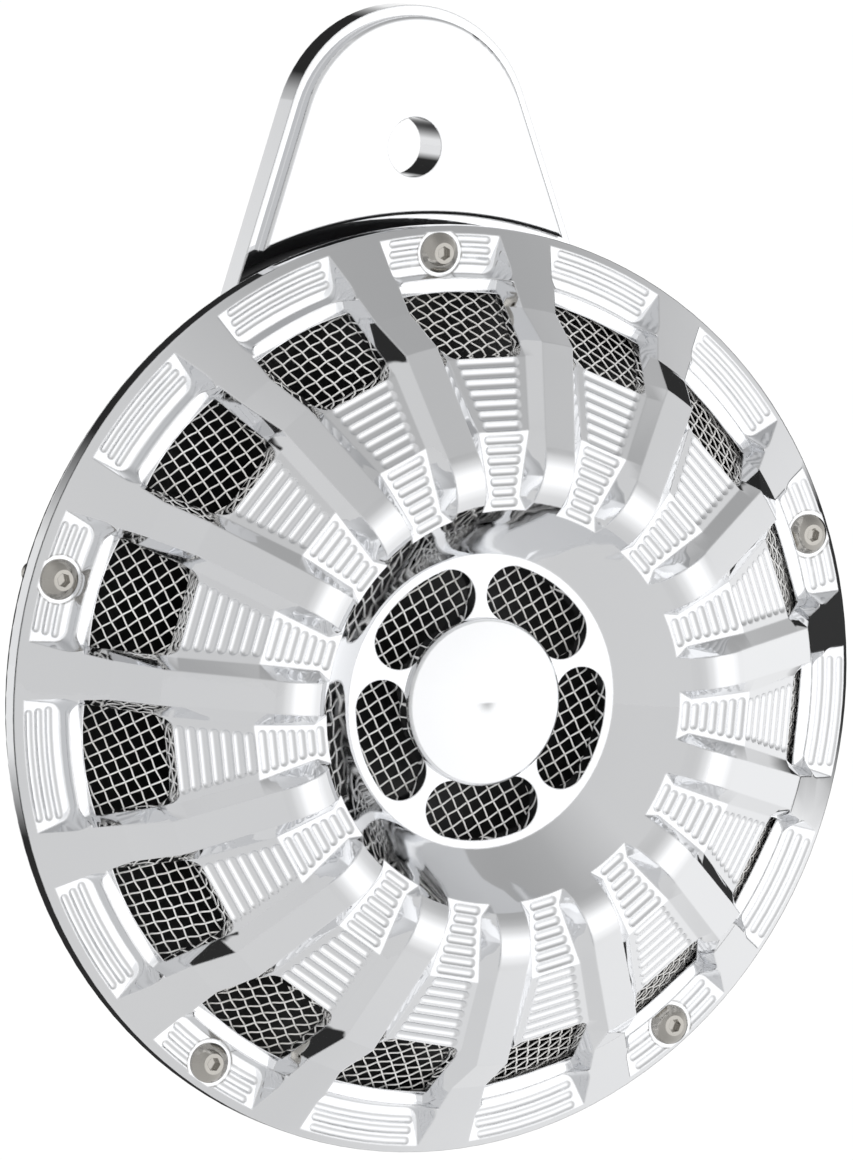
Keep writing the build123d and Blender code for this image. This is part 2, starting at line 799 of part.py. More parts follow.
# ---------------------------------------------------------------- horn housing
flange_back = plate_front + horn_standoff
flange_front = flange_back + flange_thickness
can_back = -can_depth
opening_wall = dish_radius - sheet
with BuildPart() as horn_housing:
    with BuildSketch(section) as housing_profile:
        with BuildLine():
            Polyline(
                (0, can_back),
                (can_radius, can_back),
                (can_radius, dish_floor - sheet),
                (dish_radius, dish_floor - sheet),
                (dish_radius, flange_back),
                (horn_flange_radius, flange_back),
                (horn_flange_radius, flange_front),
                (opening_wall, flange_front),
                (opening_wall, dish_floor),
                (can_radius - sheet, dish_floor),
                (can_radius - sheet, can_back + sheet),
                (0, can_back + sheet),
                close=True,
            )
        make_face()
        bends = housing_profile.vertices().filter_by(
            lambda v: abs(-v.Y - can_back) < match_tolerance and abs(v.X - can_radius) < match_tolerance
        )
        fillet(bends, 2 * sheet)
        shoulder = housing_profile.vertices().filter_by(
            lambda v: abs(-v.Y - dish_floor + sheet) < match_tolerance
            and abs(v.X - dish_radius) < match_tolerance
        )
        fillet(shoulder, shoulder_bend)
    revolve(axis=horn_axis)
    with BuildSketch(facing(can_back)):
        Circle(core_thread_radius + thread_clearance)
        with Locations((0, -terminal_plate_drop)):
            with GridLocations(terminal_spacing, 0, 2, 1):
                Circle(terminal_rivet_radius + thread_clearance)
    extrude(amount=2 * sheet, mode=Mode.SUBTRACT)
    with BuildSketch(facing(dish_floor - sheet)):
        with PolarLocations(adjuster_at_radius, 1, start_angle=adjuster_angle):
            Circle(adjuster_radius + running_clearance)
        with PolarLocations(breaker_radius, 1, start_angle=90):
            Circle(breaker_screw_radius + thread_clearance)
    extrude(amount=sheet, mode=Mode.SUBTRACT)
    with BuildSketch(facing(flange_back)):
        with PolarLocations(horn_bolt_circle, horn_bolt_count, start_angle=30):
            Circle(horn_bolt_radius + bolt_clearance)
        with PolarLocations(horn_bolt_circle, rivet_count):
            Circle(rivet_radius + thread_clearance)
    extrude(amount=flange_thickness, mode=Mode.SUBTRACT)
finish(horn_housing, "horn_housing")


def flange_ring(name, height, thickness, inner_radius):
    """A flat ring clamped on the horn's flange, with holes for its bolts and rivets."""
    with BuildPart() as ring:
        with BuildSketch(facing(height)):
            Circle(horn_flange_radius)
            Circle(inner_radius, mode=Mode.SUBTRACT)
            with PolarLocations(horn_bolt_circle, horn_bolt_count, start_angle=30):
                Circle(horn_bolt_radius + bolt_clearance, mode=Mode.SUBTRACT)
            with PolarLocations(horn_bolt_circle, rivet_count):
                Circle(rivet_radius + thread_clearance, mode=Mode.SUBTRACT)
        extrude(amount=thickness)
    finish(ring, name)


diaphragm_back = flange_front + gasket_thickness
diaphragm_front = diaphragm_back + diaphragm_thickness
ring_front = diaphragm_front + ring_thickness
flange_ring("diaphragm_gasket", flange_front, gasket_thickness, ring_inner_radius)
flange_ring("clamp_ring", diaphragm_front, ring_thickness, ring_inner_radius)

with BuildPart() as diaphragm:
    bead_middle = (bead_inner_radius + bead_outer_radius) / 2
    with BuildSketch(section):
        with BuildLine():
            stem_edge = stem_radius + running_clearance
            Polyline(
                (horn_flange_radius, diaphragm_front),
                (horn_flange_radius, diaphragm_back),
                (bead_outer_radius, diaphragm_back),
            )
            ThreePointArc(
                (bead_outer_radius, diaphragm_back),
                (bead_middle, diaphragm_back + bead_rise),
                (bead_inner_radius, diaphragm_back),
            )
            Polyline(
                (bead_inner_radius, diaphragm_back),
                (stem_edge, diaphragm_back),
                (stem_edge, diaphragm_front),
                (bead_inner_radius, diaphragm_front),
            )
            ThreePointArc(
                (bead_inner_radius, diaphragm_front),
                (bead_middle, diaphragm_front + bead_rise),
                (bead_outer_radius, diaphragm_front),
            )
            Line((bead_outer_radius, diaphragm_front), (horn_flange_radius, diaphragm_front))
        make_face()
    revolve(axis=horn_axis)
    with BuildSketch(facing(diaphragm_back)):
        with PolarLocations(horn_bolt_circle, horn_bolt_count, start_angle=30):
            Circle(horn_bolt_radius + bolt_clearance)
        with PolarLocations(horn_bolt_circle, rivet_count):
            Circle(rivet_radius + thread_clearance)
    extrude(amount=diaphragm_thickness, mode=Mode.SUBTRACT)
finish(diaphragm, "diaphragm")

# ---------------------------------------------------------------- horn fasteners
with BuildPart() as clamp_rivets:
    with BuildSketch(facing(flange_back - rivet_head_height)):
        with PolarLocations(horn_bolt_circle, rivet_count):
            Circle(rivet_head_radius)
    extrude(amount=rivet_head_height)
    with BuildSketch(facing(flange_back)):
        with PolarLocations(horn_bolt_circle, rivet_count):
            Circle(rivet_radius)
    extrude(amount=ring_front - flange_back)
    with BuildSketch(facing(ring_front)):
        with PolarLocations(horn_bolt_circle, rivet_count):
            Circle(rivet_head_radius)
    extrude(amount=rivet_head_height)
finish(clamp_rivets, "clamp_rivets")


def bolt_ring(name, height, thickness, outline):
    """Three pieces on the horn's bolt circle, each with an outline and a thickness."""
    with BuildPart() as group:
        with BuildSketch(facing(height)):
            with PolarLocations(horn_bolt_circle, horn_bolt_count, start_angle=30):
                outline()
        extrude(amount=thickness)
    finish(group, name)


def washer_outline():
    """A round washer for one horn bolt."""
    with BuildSketch() as outline:
        Circle(washer_radius)
        Circle(horn_bolt_radius + bolt_clearance, mode=Mode.SUBTRACT)
    return outline.sketch


washer_shape = washer_outline()
with BuildSketch() as nut_outline:
    RegularPolygon(nut_across_flats / 2, 6, major_radius=False)
    Circle(horn_bolt_radius + thread_clearance, mode=Mode.SUBTRACT)
nut_shape = nut_outline.sketch
bolt_ring("horn_spacers", plate_front, horn_standoff, lambda: add(washer_shape))
bolt_ring("front_washers", ring_front, washer_thickness, lambda: add(washer_shape))
bolt_ring("back_washers", -washer_thickness, washer_thickness, lambda: add(washer_shape))
nut_seat = ring_front + washer_thickness
bolt_ring("horn_nuts", nut_seat, nut_height, lambda: add(nut_shape))

with BuildPart() as horn_bolts:
    with BuildSketch(facing(-washer_thickness - bolt_head_height)):
        with PolarLocations(horn_bolt_circle, horn_bolt_count, start_angle=30):
            RegularPolygon(bolt_head_across_flats / 2, 6, major_radius=False)
    extrude(amount=bolt_head_height)
    with BuildSketch(facing(-washer_thickness)):
        with PolarLocations(horn_bolt_circle, horn_bolt_count, start_angle=30):
            Circle(horn_bolt_radius)
    extrude(amount=washer_thickness + nut_seat + nut_height + bolt_tail)
finish(horn_bolts, "horn_bolts")

# ---------------------------------------------------------------- electromagnet
core_front = dish_floor
core_back = can_back + sheet
with BuildPart() as pole_core:
    with BuildSketch(facing(core_back)):
        Circle(core_radius)
    extrude(amount=core_front - core_back)
    with BuildSketch(facing(can_back - core_nut_height - core_thread_tail)):
        Circle(core_thread_radius)
    extrude(amount=core_nut_height + core_thread_tail + sheet)
finish(pole_core, "pole_core")

with BuildPart() as core_locknut:
    with BuildSketch(facing(can_back - core_nut_height)):
        RegularPolygon(core_nut_across_flats / 2, 6, major_radius=False)
        Circle(core_thread_radius + thread_clearance, mode=Mode.SUBTRACT)
    extrude(amount=core_nut_height)
finish(core_locknut, "core_locknut")

bobbin_back = core_back + bobbin_seat
bobbin_front = core_front
bobbin_sleeve = core_radius + running_clearance + bobbin_wall
with BuildPart() as coil_bobbin:
    with BuildSketch(section):
        with BuildLine():
            Polyline(
                (core_radius + running_clearance, bobbin_back),
                (bobbin_radius, bobbin_back),
                (bobbin_radius, bobbin_back + bobbin_wall),
                (bobbin_sleeve, bobbin_back + bobbin_wall),
                (bobbin_sleeve, bobbin_front - bobbin_wall),
                (bobbin_radius, bobbin_front - bobbin_wall),
                (bobbin_radius, bobbin_front),
                (core_radius + running_clearance, bobbin_front),
                close=True,
            )
        make_face()
    revolve(axis=horn_axis)
finish(coil_bobbin, "coil_bobbin")

with BuildPart() as coil:
    with BuildSketch(facing(bobbin_back + bobbin_wall + running_clearance)):
        Circle(bobbin_radius - coil_margin)
        Circle(bobbin_sleeve + running_clearance, mode=Mode.SUBTRACT)
    extrude(amount=bobbin_front - bobbin_back - 2 * bobbin_wall - 2 * running_clearance)
finish(coil, "coil")

# ---------------------------------------------------------------- armature and tone disc
plunger_back = core_front + air_gap
shoulder_back = diaphragm_back - shoulder_thickness
collar_front = diaphragm_front + collar_height
tone_front = collar_front + tone_disc_thickness
washer_front = tone_front + washer_thickness
nut_front = washer_front + armature_nut_height
with BuildPart() as armature:
    with BuildSketch(facing(plunger_back)):
        Circle(plunger_radius)
    extrude(amount=shoulder_back - plunger_back)
    with BuildSketch(facing(shoulder_back)):
        Circle(shoulder_radius)
    extrude(amount=shoulder_thickness)
    with BuildSketch(facing(diaphragm_back)):
        Circle(stem_radius)
    extrude(amount=nut_front + stem_tail - diaphragm_back)
finish(armature, "armature")


def stem_ring(name, height, thickness, radius, bore_clearance):
    """A round piece threaded on the armature's stem."""
    with BuildPart() as ring:
        with BuildSketch(facing(height)):
            Circle(radius)
            Circle(stem_radius + bore_clearance, mode=Mode.SUBTRACT)
        extrude(amount=thickness)
    finish(ring, name)


stem_ring("tone_disc_collar", diaphragm_front, collar_height, collar_radius, running_clearance)
stem_ring("armature_washer", tone_front, washer_thickness, washer_radius, running_clearance)

with BuildPart() as tone_disc:
    with BuildSketch(section):
        with BuildLine():
            rim_back = collar_front + tone_disc_dish
            Polyline(
                (stem_radius + running_clearance, collar_front),
                (tone_disc_flat_radius, collar_front),
                (tone_disc_radius, rim_back),
                (tone_disc_radius, rim_back + tone_disc_thickness),
                (tone_disc_flat_radius, tone_front),
                (stem_radius + running_clearance, tone_front),
                close=True,
            )
        make_face()
    revolve(axis=horn_axis)
finish(tone_disc, "tone_disc")

with BuildPart() as armature_nut:
    with BuildSketch(facing(washer_front)):
        RegularPolygon(armature_nut_across_flats / 2, 6, major_radius=False)
        Circle(stem_radius + thread_clearance, mode=Mode.SUBTRACT)
    extrude(amount=armature_nut_height)
finish(armature_nut, "armature_nut")

# ---------------------------------------------------------------- contact breaker
# A stack riveted to the dish floor above the axis: insulator, moving arm, insulator, fixed arm.
arm_back = shoulder_back - pip_clearance - pip_height - arm_thickness
fixed_arm_back = arm_back + arm_thickness + 2 * point_thickness + point_clearance
hinge_radius = breaker_radius - breaker_depth / 2 - hinge_standoff


def breaker_block(name, height, thickness):
    """One insulator of the breaker's stack."""
    with BuildPart() as block:
        with BuildSketch(facing(height)):
            with Locations((0, breaker_radius)):
                Rectangle(breaker_width, breaker_depth)
                Circle(breaker_screw_radius + running_clearance, mode=Mode.SUBTRACT)
        extrude(amount=thickness)
    finish(block, name)


def breaker_arm(name, height, inner_radius):
    """One spring arm clamped in the stack, from its inner end outwards."""
    with BuildPart() as arm:
        with BuildSketch(facing(height)):
            with Locations((0, (inner_radius + breaker_radius + breaker_depth / 2) / 2)):
                Rectangle(arm_width, breaker_radius + breaker_depth / 2 - inner_radius)
            with Locations((0, breaker_radius)):
                Circle(breaker_screw_radius + running_clearance, mode=Mode.SUBTRACT)
        extrude(amount=arm_thickness)
    finish(arm, name)


breaker_block("breaker_base", dish_floor, arm_back - dish_floor)
breaker_block("breaker_insulator", arm_back + arm_thickness, fixed_arm_back - arm_back - arm_thickness)
breaker_arm("fixed_contact_arm", fixed_arm_back, point_at_radius - point_radius - arm_overhang)
breaker_arm("contact_arm_root", arm_back, hinge_radius + hinge_knuckle_radius + running_clearance)

with BuildPart() as moving_contact_arm:
    with BuildSketch(facing(arm_back)):
        with Locations((0, (arm_tip_radius + hinge_radius) / 2)):
            Rectangle(arm_width, hinge_radius - arm_tip_radius)
    extrude(amount=arm_thickness)
    with BuildSketch(Plane.YZ):
        with Locations((-arm_back - arm_thickness / 2, hinge_radius - drop)):
            Circle(hinge_knuckle_radius)
    extrude(amount=arm_width / 2, both=True)
finish(moving_contact_arm, "moving_contact_arm")


def round_button(name, height, radial_place, radius, thickness):
    """A small round button riveted on an arm."""
    with BuildPart() as button:
        with BuildSketch(facing(height)):
            with Locations((0, radial_place)):
                Circle(radius)
        extrude(amount=thickness)
    finish(button, name)


round_button("moving_point", arm_back + arm_thickness, point_at_radius, point_radius, point_thickness)
fixed_point_back = fixed_arm_back - point_thickness
round_button("fixed_point", fixed_point_back, point_at_radius, point_radius, point_thickness)
round_button("arm_pip", arm_back + arm_thickness, arm_tip_radius + pip_radius, pip_radius, pip_height)

breaker_head = fixed_arm_back + arm_thickness
with BuildPart() as breaker_rivet:
    with BuildSketch(facing(dish_floor - sheet - breaker_rivet_head)):
        with Locations((0, breaker_radius)):
            Circle(2 * breaker_screw_radius)
    extrude(amount=breaker_rivet_head)
    with BuildSketch(facing(dish_floor - sheet)):
        with Locations((0, breaker_radius)):
            Circle(breaker_screw_radius)
    extrude(amount=breaker_head - dish_floor + sheet)
    with BuildSketch(facing(breaker_head)):
        with Locations((0, breaker_radius)):
            Circle(2 * breaker_screw_radius)
    extrude(amount=breaker_rivet_head)
finish(breaker_rivet, "breaker_rivet")

adjuster_back = dish_floor - sheet
with BuildPart() as adjusting_screw:
    with BuildSketch(facing(adjuster_back - adjuster_head_height)):
        with PolarLocations(adjuster_at_radius, 1, start_angle=adjuster_angle):
            Circle(adjuster_head_radius)
    extrude(amount=adjuster_head_height - running_clearance)
    with BuildSketch(facing(adjuster_back - running_clearance)):
        with PolarLocations(adjuster_at_radius, 1, start_angle=adjuster_angle):
            Circle(adjuster_radius)
    extrude(amount=2 * sheet + adjuster_tail)
    with BuildSketch(facing(adjuster_back - adjuster_head_height)):
        with PolarLocations(adjuster_at_radius, 1, start_angle=adjuster_angle):
            Rectangle(2 * adjuster_head_radius, adjuster_slot)
    extrude(amount=adjuster_head_height / 2, mode=Mode.SUBTRACT)
finish(adjusting_screw, "adjusting_screw")

# ---------------------------------------------------------------- terminals
plate_back = can_back - terminal_plate_thickness
with BuildPart() as terminal_plate:
    with BuildSketch(facing(plate_back)):
        with Locations((0, -terminal_plate_drop)):
            RectangleRounded(terminal_plate_width, terminal_plate_height, terminal_plate_round)
            with GridLocations(terminal_spacing, 0, 2, 1):
                Circle(terminal_rivet_radius + thread_clearance, mode=Mode.SUBTRACT)
    extrude(amount=terminal_plate_thickness)
finish(terminal_plate, "terminal_plate")

blade_top = -terminal_plate_drop + blade_width / 2
blade_middle = blade_top - blade_length / 2
blade_foot = blade_top - blade_length
with BuildPart() as terminal_blades:
    with BuildSketch(facing(plate_back - blade_thickness)):
        with Locations((0, blade_middle)):
            with GridLocations(terminal_spacing, 0, 2, 1):
                RectangleRounded(blade_width, blade_length, blade_round)
        with Locations((0, -terminal_plate_drop)):
            with GridLocations(terminal_spacing, 0, 2, 1):
                Circle(terminal_rivet_radius + thread_clearance, mode=Mode.SUBTRACT)
        with Locations((0, blade_foot + blade_hole_rise)):
            with GridLocations(terminal_spacing, 0, 2, 1):
                Circle(blade_hole_radius, mode=Mode.SUBTRACT)
    extrude(amount=blade_thickness)
finish(terminal_blades, "terminal_blades")

blade_back = plate_back - blade_thickness
with BuildPart() as terminal_rivets:
    with BuildSketch(facing(blade_back - terminal_rivet_head)):
        with Locations((0, -terminal_plate_drop)):
            with GridLocations(terminal_spacing, 0, 2, 1):
                Circle(2 * terminal_rivet_radius)
    extrude(amount=terminal_rivet_head)
    with BuildSketch(facing(blade_back)):
        with Locations((0, -terminal_plate_drop)):
            with GridLocations(terminal_spacing, 0, 2, 1):
                Circle(terminal_rivet_radius)
    extrude(amount=core_back - blade_back)
    with BuildSketch(facing(core_back)):
        with Locations((0, -terminal_plate_drop)):
            with GridLocations(terminal_spacing, 0, 2, 1):
                Circle(2 * terminal_rivet_radius)
    extrude(amount=terminal_rivet_head)
finish(terminal_rivets, "terminal_rivets")
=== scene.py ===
from math import cos, pi, radians

import bpy
from mathutils import Matrix, Vector
from mathutils.bvhtree import BVHTree


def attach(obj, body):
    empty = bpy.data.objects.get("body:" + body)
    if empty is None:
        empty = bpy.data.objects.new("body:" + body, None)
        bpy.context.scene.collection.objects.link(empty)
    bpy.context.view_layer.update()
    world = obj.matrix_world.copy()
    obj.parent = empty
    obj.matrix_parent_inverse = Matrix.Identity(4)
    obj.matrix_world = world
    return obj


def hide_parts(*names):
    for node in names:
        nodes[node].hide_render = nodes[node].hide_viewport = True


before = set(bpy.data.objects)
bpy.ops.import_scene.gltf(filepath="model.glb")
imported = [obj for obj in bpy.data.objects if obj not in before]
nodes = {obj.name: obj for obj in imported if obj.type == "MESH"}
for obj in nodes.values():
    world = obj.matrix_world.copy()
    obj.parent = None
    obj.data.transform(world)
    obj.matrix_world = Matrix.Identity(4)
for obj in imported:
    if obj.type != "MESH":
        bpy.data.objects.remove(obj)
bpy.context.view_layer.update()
print("frame loaded:", len(nodes), "nodes")

discCentre = Vector((0, 0, -0.0885))


# Shader helpers: an expression on values adds its own Math nodes
class Value:
    def __init__(self, finish, socket):
        self.finish = finish
        self.socket = socket

    def math(self, operation, *others):
        return self.finish.node("ShaderNodeMath", {"operation": operation}, [self, *others])

    def out(self, name):
        return Value(self.finish, self.socket.node.outputs[name])

    def __add__(self, other):
        return self.math("ADD", other)

    __radd__ = __add__

    def __mul__(self, other):
        return self.math("MULTIPLY", other)

    __rmul__ = __mul__

    def __sub__(self, other):
        return self.math("SUBTRACT", other)

    def __rsub__(self, other):
        return self.finish.node("ShaderNodeMath", {"operation": "SUBTRACT"}, [other, self])

    def __truediv__(self, other):
        return self.math("DIVIDE", other)

    def __pow__(self, other):
        return self.math("POWER", other)

    def __lt__(self, other):
        return self.math("LESS_THAN", other)


class Finish:
    def __init__(self, name, tree=None):
        if tree is None:
            self.material = bpy.data.materials.new(name)
            self.material.use_nodes = True
            tree = self.material.node_tree
        self.tree = tree
        self.tree.nodes.clear()

    def node(self, kind, settings=None, values=()):
        made = self.tree.nodes.new(kind)
        for name, value in (settings or {}).items():
            if name == "stops":
                ramp = made.color_ramp
                while len(ramp.elements) < len(value):
                    ramp.elements.new(0.5)
                for element, (place, colour) in zip(ramp.elements, value):
                    element.position = place
                    element.color = (*colour, 1) if hasattr(colour, "__len__") else (colour,) * 3 + (1,)
            else:
                setattr(made, name, value)
        pairs = values.items() if isinstance(values, dict) else enumerate(values)
        for name, value in pairs:
            if isinstance(value, Value):
                self.tree.links.new(value.socket, made.inputs[name])
            else:
                made.inputs[name].default_value = value
        if not made.outputs:
            return None
        return Value(self, next((o for o in made.outputs if o.enabled), made.outputs[0]))

    def place(self, move=(0, 0, 0)):
        objectPlace = self.node("ShaderNodeTexCoord").out("Object")
        return self.node("ShaderNodeMapping", {}, {"Vector": objectPlace, "Location": move})

    def noise(self, scale, detail=2.0, roughness=0.5):
        return self.node("ShaderNodeTexNoise", {}, {
            "Vector": self.place(), "Scale": scale, "Detail": detail, "Roughness": roughness})

    def ramp(self, value, stops):
        return self.node("ShaderNodeValToRGB", {"stops": stops}, {"Fac": value})

    def blend(self, factor, low, high):
        made = self.node("ShaderNodeMix", {"data_type": "RGBA"}, {})
        mixed = made.socket.node
        for name, value in (("Factor", factor), ("A", low), ("B", high)):
            live = [s for s in mixed.inputs if s.name == name and s.enabled][0]
            if isinstance(value, Value):
                self.tree.links.new(value.socket, live)
            else:
                live.default_value = value if name == "Factor" else (*value, 1)
        return Value(self, [s for s in mixed.outputs if s.enabled][0])

    def bump(self, height, depth, strength=1.0, normal=None):
        values = {"Height": height, "Distance": depth, "Strength": strength}
        if normal is not None:
            values["Normal"] = normal
        return self.node("ShaderNodeBump", {}, values)

    def roundedEdges(self, radius, samples=4):
        return self.node("ShaderNodeBevel", {"samples": samples}, {"Radius": radius})

    def surface(self, **values):
        values = {name.replace("_", " "): value for name, value in values.items()}
        shader = self.node("ShaderNodeBsdfPrincipled", {}, {
            name: (*value, 1) if isinstance(value, tuple) and len(value) == 3 else value
            for name, value in values.items()})
        self.node("ShaderNodeOutputMaterial", {}, {"Surface": shader})
        return self.material


def radiusFromAxis(finish):
    # distance from the cover's axis, and the height in front of the bracket's back, in metres
    apart = finish.node("ShaderNodeSeparateXYZ", {}, [finish.place(move=tuple(-discCentre))])
    x, y, z = apart.out("X"), apart.out("Y"), apart.out("Z")
    return (x * x + z * z) ** 0.5, -1 * y


# Bright plate on the outside; the faces behind are dull, not metal and coloured near black, a painted shade
# for the unlit inside of the cover
coverPlate = {
    "colour": (0.9, 0.905, 0.915),
    "shadeColour": (0.84, 0.85, 0.87),
    # painted shade: near-black colour for the unlit faces inside the cover
    "insideShadeColour": (0.01, 0.01, 0.011),
    "roughness": 0.03,
    "insideRoughness": 0.6,
    "edgeRadius": 0.0004,
    "cloudScale": 26.0,
    "cloudDetail": 3.0,
    "roughnessSpread": (0.6, 0.8),
    "wipeScale": 364.0,
    "wipeDepth": 0.000003,
    "wipeStrength": 0.25,
    # height of the shell's back over the bracket's back at each radius, in metres
    "backProfile": [(0.0, 0.0275), (0.024, 0.0275), (0.034, 0.0345), (0.0445, 0.0345), (0.0561, 0.0285),
                    (0.0655, 0.0135), (0.0763, 0.0125)],
}
# The cap is a little softer than the cover
capPlate = {**coverPlate, "roughness": 0.2, "colour": (0.86, 0.865, 0.875), "shadeColour": (0.8, 0.81, 0.825)}


def brightPlate(name, settings, paintInsideShade=False):
    finish = Finish(name)
    cloud = finish.noise(settings["cloudScale"], settings["cloudDetail"])
    wipe = finish.noise(settings["wipeScale"])
    low, spread = settings["roughnessSpread"]
    roughness = settings["roughness"] * (low + spread * cloud)
    colour = finish.blend(cloud, settings["shadeColour"], settings["colour"])
    metal = 1.0
    if paintInsideShade:
        radius, height = radiusFromAxis(finish)
        reach = settings["backProfile"][-1][0]
        deep = max(h for r, h in settings["backProfile"])
        stops = [(r / reach, h / deep) for r, h in settings["backProfile"]]
        profile = finish.ramp(radius / reach, stops)
        insideShadeMask = height < profile * deep
        # painted shade: faces behind the shell's back profile take the near-black colour, and are made dull
        # and not metal
        colour = finish.blend(insideShadeMask, colour, settings["insideShadeColour"])
        roughness = roughness + insideShadeMask * settings["insideRoughness"]
        metal = 1 - insideShadeMask
    rounded = finish.roundedEdges(settings["edgeRadius"])
    return finish.surface(Base_Color=colour, Roughness=roughness, Metallic=metal,
                          Normal=finish.bump(wipe, settings["wipeDepth"], settings["wipeStrength"], rounded))


# Small hardware: cloudy metal with fine grain
hardware = {"cloudScale": 140.0, "cloudDetail": 3.0, "grainScale": 900.0, "grainDepth": 0.000012,
            "grainStrength": 0.4, "edgeRadius": 0.00015, "roughnessSpread": (0.7, 0.6)}


def hardwareMetal(name, colour, shade, roughness, settings=hardware):
    finish = Finish(name)
    cloud = finish.noise(settings["cloudScale"], settings["cloudDetail"])
    fine = finish.noise(settings["grainScale"])
    low, spread = settings["roughnessSpread"]
    rounded = finish.roundedEdges(settings["edgeRadius"])
    return finish.surface(Base_Color=finish.blend(cloud, shade, colour),
                          Roughness=roughness * (low + spread * fine), Metallic=1.0,
                          Normal=finish.bump(fine, settings["grainDepth"], settings["grainStrength"],
                                             rounded))


# Satin black with orange peel, a little dust grey on it
blackPaint = {"colour": (0.006, 0.006, 0.0065), "dust": (0.016, 0.016, 0.017), "roughness": 0.42,
              "peelScale": 420.0, "peelDepth": 0.00002, "peelStrength": 0.5,
              "dustScale": 60.0, "dustDetail": 4.0, "dustStops": [(0.45, 0.0), (0.75, 1.0)],
              "dustRoughness": 0.16}


def satinPaint(name, settings):
    finish = Finish(name)
    dust = finish.ramp(finish.noise(settings["dustScale"], settings["dustDetail"]), settings["dustStops"])
    peel = finish.noise(settings["peelScale"])
    return finish.surface(Base_Color=finish.blend(dust, settings["colour"], settings["dust"]),
                          Roughness=settings["roughness"] + settings["dustRoughness"] * dust, Metallic=0.0,
                          Normal=finish.bump(peel, settings["peelDepth"], settings["peelStrength"]))


# Wire drawn bright: fine pits and slightly darker random stains
meshWire = {"colour": (0.97, 0.965, 0.95), "shade": (0.8, 0.785, 0.76), "roughness": 0.38, "metal": 0.2,
            "stainScale": 90.0, "stainDetail": 3.0, "stainStops": [(0.3, 0.0), (0.62, 1.0)],
            "grainScale": 2400.0, "grainDepth": 0.00001, "grainStrength": 0.4, "grainRoughness": 0.15}


def drawnWire(name, settings):
    finish = Finish(name)
    stain = finish.ramp(finish.noise(settings["stainScale"], settings["stainDetail"]), settings["stainStops"])
    grain = finish.noise(settings["grainScale"])
    return finish.surface(Base_Color=finish.blend(stain, settings["shade"], settings["colour"]),
                          Roughness=settings["roughness"] + settings["grainRoughness"] * grain,
                          Metallic=settings["metal"],
                          Normal=finish.bump(grain, settings["grainDepth"], settings["grainStrength"]))


# Fibre board, paper and nylon: flecks over a base
flecked = {"detail": 4.0, "grainRoughness": 0.65, "stops": [(0.42, 0.0), (0.64, 1.0)], "fleckRoughness": 0.2,
           "fleckDepth": 0.00003, "fleckStrength": 0.5, "edgeRadius": 0.0002}


def fleckedSolid(name, colour, fleck, roughness, scale, settings=flecked):
    finish = Finish(name)
    speckle = finish.noise(scale, settings["detail"], settings["grainRoughness"])
    flecks = finish.ramp(speckle, settings["stops"])
    rounded = finish.roundedEdges(settings["edgeRadius"])
    return finish.surface(Base_Color=finish.blend(flecks, colour, fleck), Metallic=0.0,
                          Roughness=roughness + settings["fleckRoughness"] * flecks,
                          Normal=finish.bump(flecks, settings["fleckDepth"], settings["fleckStrength"],
                                             rounded))


# Turned iron: fine rings about the disc's axis
ironFaces = {"colour": (0.36, 0.36, 0.37), "shade": (0.24, 0.24, 0.25), "ringPitch": 0.00035,
             "cloudScale": 120.0, "cloudDetail": 3.0, "roughness": 0.34, "ringRoughness": 0.16,
             "ringDepth": 0.00002, "ringStrength": 0.6}


def turnedIron(name, settings):
    finish = Finish(name)
    radius, height = radiusFromAxis(finish)
    wave = ((radius + height) * (2 * pi / settings["ringPitch"])).math("SINE")
    rings = wave * 0.5 + 0.5
    cloud = finish.noise(settings["cloudScale"], settings["cloudDetail"])
    return finish.surface(Base_Color=finish.blend(cloud, settings["shade"], settings["colour"]), Metallic=1.0,
                          Roughness=settings["roughness"] + settings["ringRoughness"] * rings,
                          Normal=finish.bump(rings, settings["ringDepth"], settings["ringStrength"]))


# Windings lie side by side along the coil, each one rounded, with painted shade darker in the creases between
# them and lighter on their crowns
windings = {"colour": (0.62, 0.26, 0.11), "shade": (0.3, 0.1, 0.04), "wirePitch": 0.00045, "metal": 0.9,
            "roughness": 0.3, "grainScale": 700.0, "grainRoughness": 0.1, "roundDepth": 0.0001,
            "roundStrength": 0.8}


def woundCopper(name, settings):
    finish = Finish(name)
    height = radiusFromAxis(finish)[1]
    windingShadeAndRounds = ((height * (pi / settings["wirePitch"])).math("SINE")).math("ABSOLUTE")
    grain = finish.noise(settings["grainScale"])
    # painted shade: colour darker between windings and lighter on their crowns; the same wave also bumps the
    # rounds
    return finish.surface(Base_Color=finish.blend(windingShadeAndRounds, settings["shade"], settings["colour"]),
                          Metallic=settings["metal"],
                          Roughness=settings["roughness"] + settings["grainRoughness"] * grain,
                          Normal=finish.bump(windingShadeAndRounds, settings["roundDepth"], settings["roundStrength"]))


